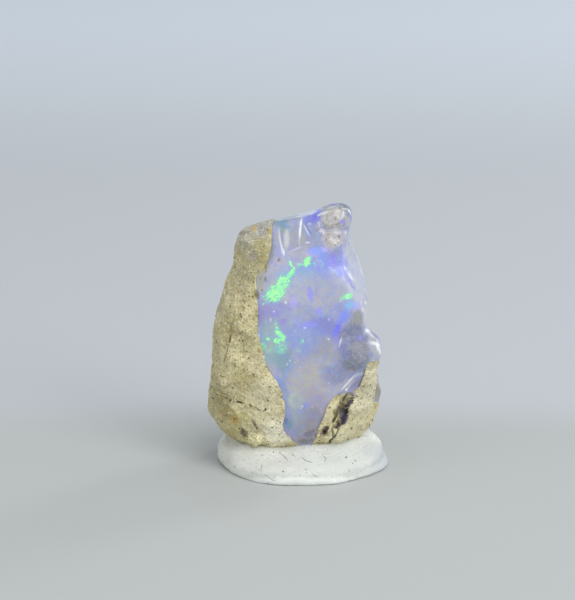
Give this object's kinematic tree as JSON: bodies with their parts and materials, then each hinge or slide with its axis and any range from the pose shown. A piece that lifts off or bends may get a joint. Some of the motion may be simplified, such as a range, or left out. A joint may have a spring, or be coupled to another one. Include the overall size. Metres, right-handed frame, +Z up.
{
  "type": "rough precious opal in host rock",
  "caption": "Rough tooth of clear, colour-flashing precious opal cradled in tan volcanic rock, held upright on a pressed disc of white mounting putty.",
  "frame": {"origin": "centre of the putty disc's flat underside", "axes": "+X to the right of the opal's front face, +Y from the front face into the stone, +Z up along the stone's long side"},
  "size_m": [0.0117, 0.0109, 0.0173],
  "materials": {
    "opal": "glassy break, clear at the edges and milky blue inside",
    "tan_rock": "matt, fine-grained and pitted",
    "white_putty": "matt putty with finger marks"
  },
  "bodies": {
    "root": {"precious_opal": "opal", "host_rock": "tan_rock", "putty_disc": "white_putty"}
  },
  "joints": []
}
